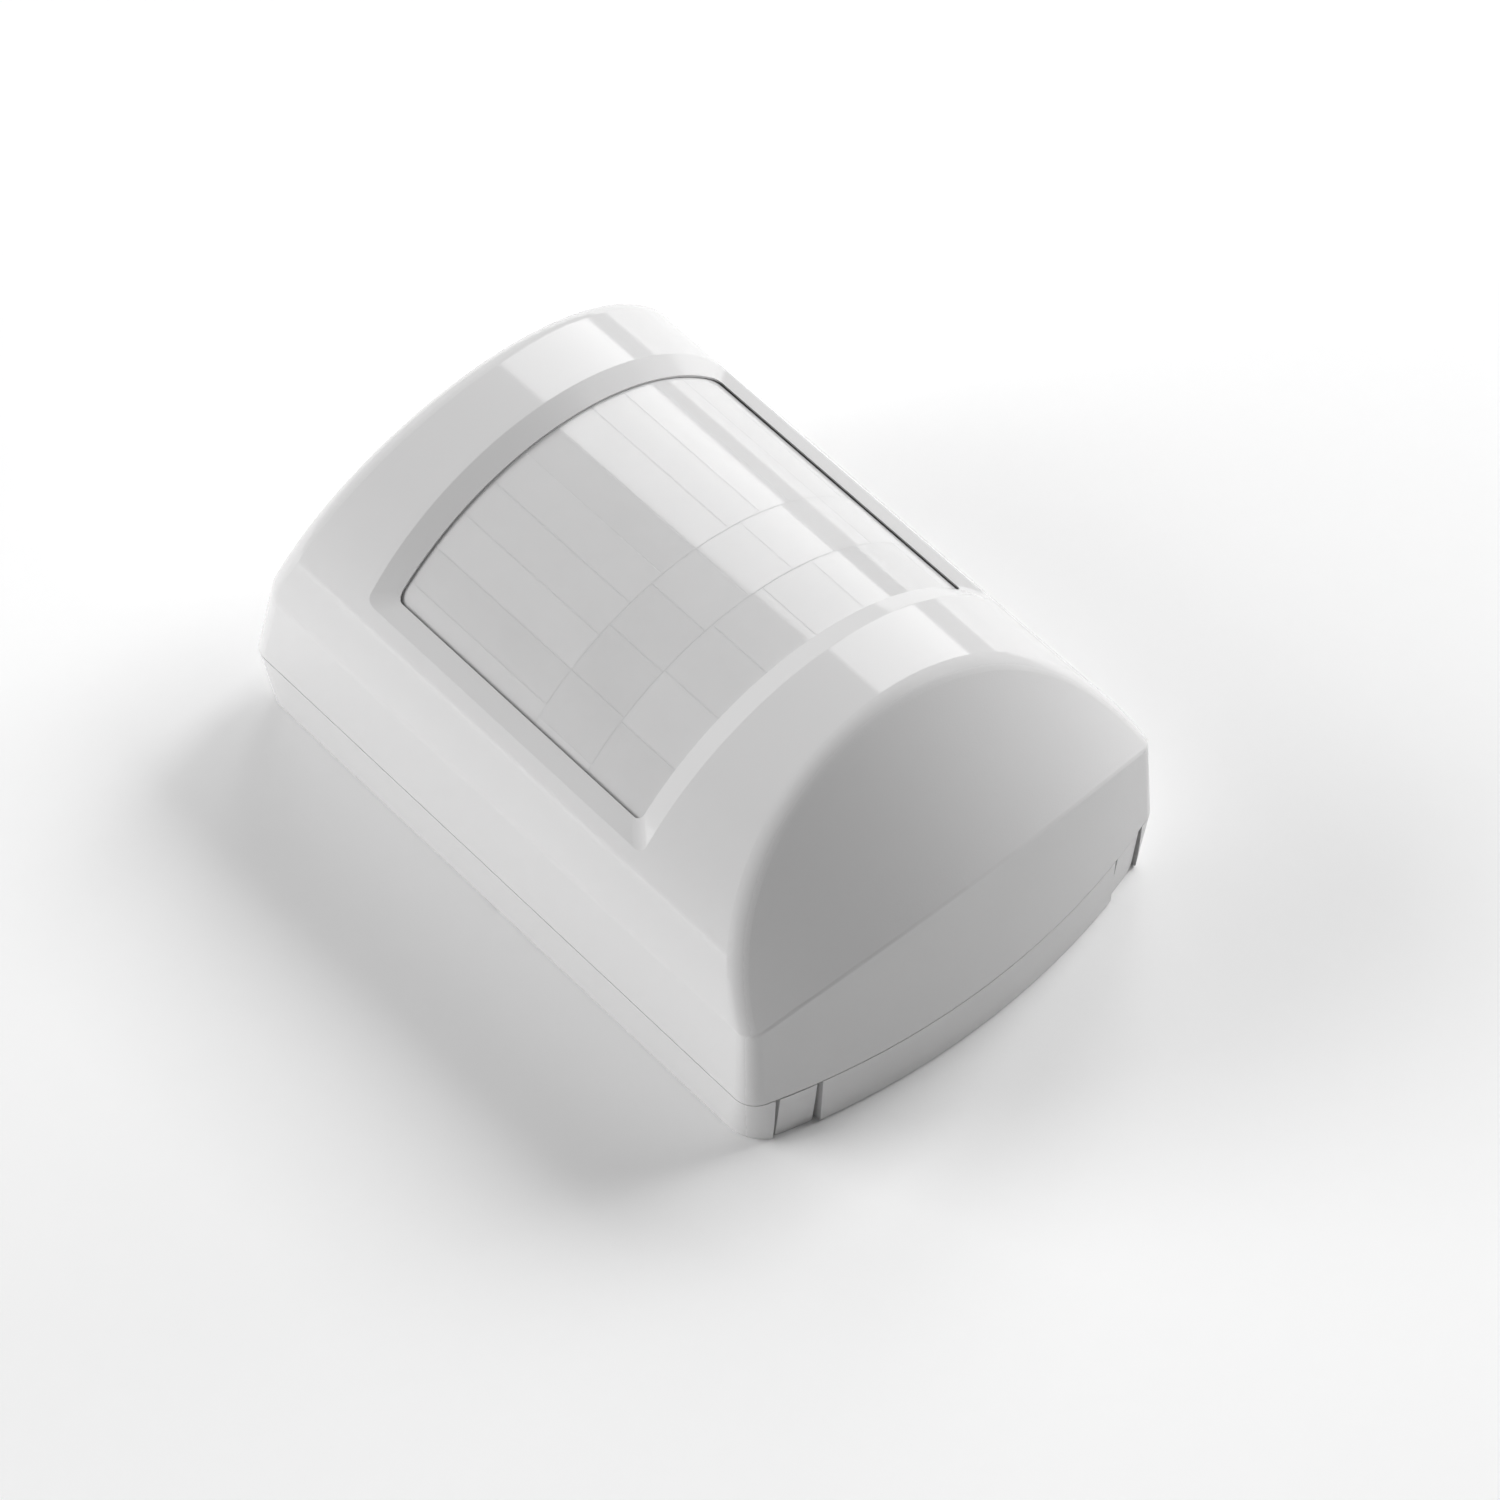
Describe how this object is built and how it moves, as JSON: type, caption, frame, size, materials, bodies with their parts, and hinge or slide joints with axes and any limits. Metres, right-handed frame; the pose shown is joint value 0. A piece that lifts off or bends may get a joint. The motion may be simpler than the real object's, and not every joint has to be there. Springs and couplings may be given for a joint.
{
  "type": "motion sensor",
  "caption": "Wall-mounted motion sensor with a half-round front, curved lens window, sloping end facet and a hinged front cover that two finger tabs release.",
  "frame": {"origin": "middle of the flat mounting back", "axes": "+Z out of the wall through the lens, +Y towards the top end that the cover hinges on, +X across the width"},
  "size_m": [0.062, 0.0914, 0.0416],
  "materials": {
    "case_white": "satin moulded ABS",
    "lens_film": "milky polyethylene film with fine grooves",
    "inner_white": "matte moulded ABS",
    "board_green": "solder mask over glass fibre",
    "plated_steel": "nickel plated",
    "filter_dark": "polished filter window",
    "led_red": "clear tinted epoxy",
    "black_plastic": "moulded thermoplastic",
    "copper_wire": "enamelled copper",
    "capacitor_sleeve": "shrink sleeve",
    "ceramic_brown": "sintered ceramic",
    "battery_wrap": "plain shrink wrap"
  },
  "bodies": {
    "housing": {"rear_housing": "case_white", "circuit_board": "board_green", "board_screw": "plated_steel", "sensor_can": "plated_steel", "sensor_window": "filter_dark", "sensor_leads": "plated_steel", "sensor_spacer": "inner_white", "status_led": "led_red", "tamper_switch_body": "black_plastic", "tamper_spring": "plated_steel", "pair_button_body": "black_plastic", "controller_chip": "black_plastic", "crystal": "plated_steel", "radio_module": "board_green", "radio_shield": "plated_steel", "antenna_coil": "copper_wire", "electrolytic_capacitors": "capacitor_sleeve", "chip_components": "ceramic_brown", "jumper_header": "black_plastic", "jumper_cap": "black_plastic", "battery": "battery_wrap", "battery_holder": "black_plastic", "battery_contact_positive": "plated_steel", "battery_contact_negative": "plated_steel"},
    "cover": {"front_cover": "case_white", "fresnel_lens": "lens_film", "lens_retainer": "inner_white"},
    "tab_left": {"latch_tab_left": "case_white"},
    "tab_right": {"latch_tab_right": "case_white"},
    "tamper": {"tamper_plunger": "black_plastic"},
    "pair_button": {"pair_button_cap": "inner_white"}
  },
  "joints": [
    {"name": "cover_hinge", "type": "hinge", "parent": "housing", "child": "cover", "pos_m": [0, 0.0459, 0.0084], "axis": [-1, 0, 0], "range_deg": [0, 50]},
    {"name": "latch_left_press", "type": "hinge", "parent": "housing", "child": "tab_left", "pos_m": [-0.025, -0.0379, 0.0008], "axis": [-1, 0, 0], "range_deg": [0, 4], "stiffness_Nm_per_rad": 0.2},
    {"name": "latch_right_press", "type": "hinge", "parent": "housing", "child": "tab_right", "pos_m": [0.025, -0.0379, 0.0008], "axis": [-1, 0, 0], "range_deg": [0, 4], "stiffness_Nm_per_rad": 0.2},
    {"name": "tamper_press", "type": "slide", "parent": "housing", "child": "tamper", "axis": [0, 0, -1], "range_m": [0, 0.001], "stiffness_N_per_m": 300, "springref_m": -0.001, "deforming": ["tamper_spring"]},
    {"name": "pair_button_press", "type": "slide", "parent": "housing", "child": "pair_button", "axis": [0, 0, -1], "range_m": [0, 0.0005], "stiffness_N_per_m": 800, "springref_m": -0.0003}
  ]
}
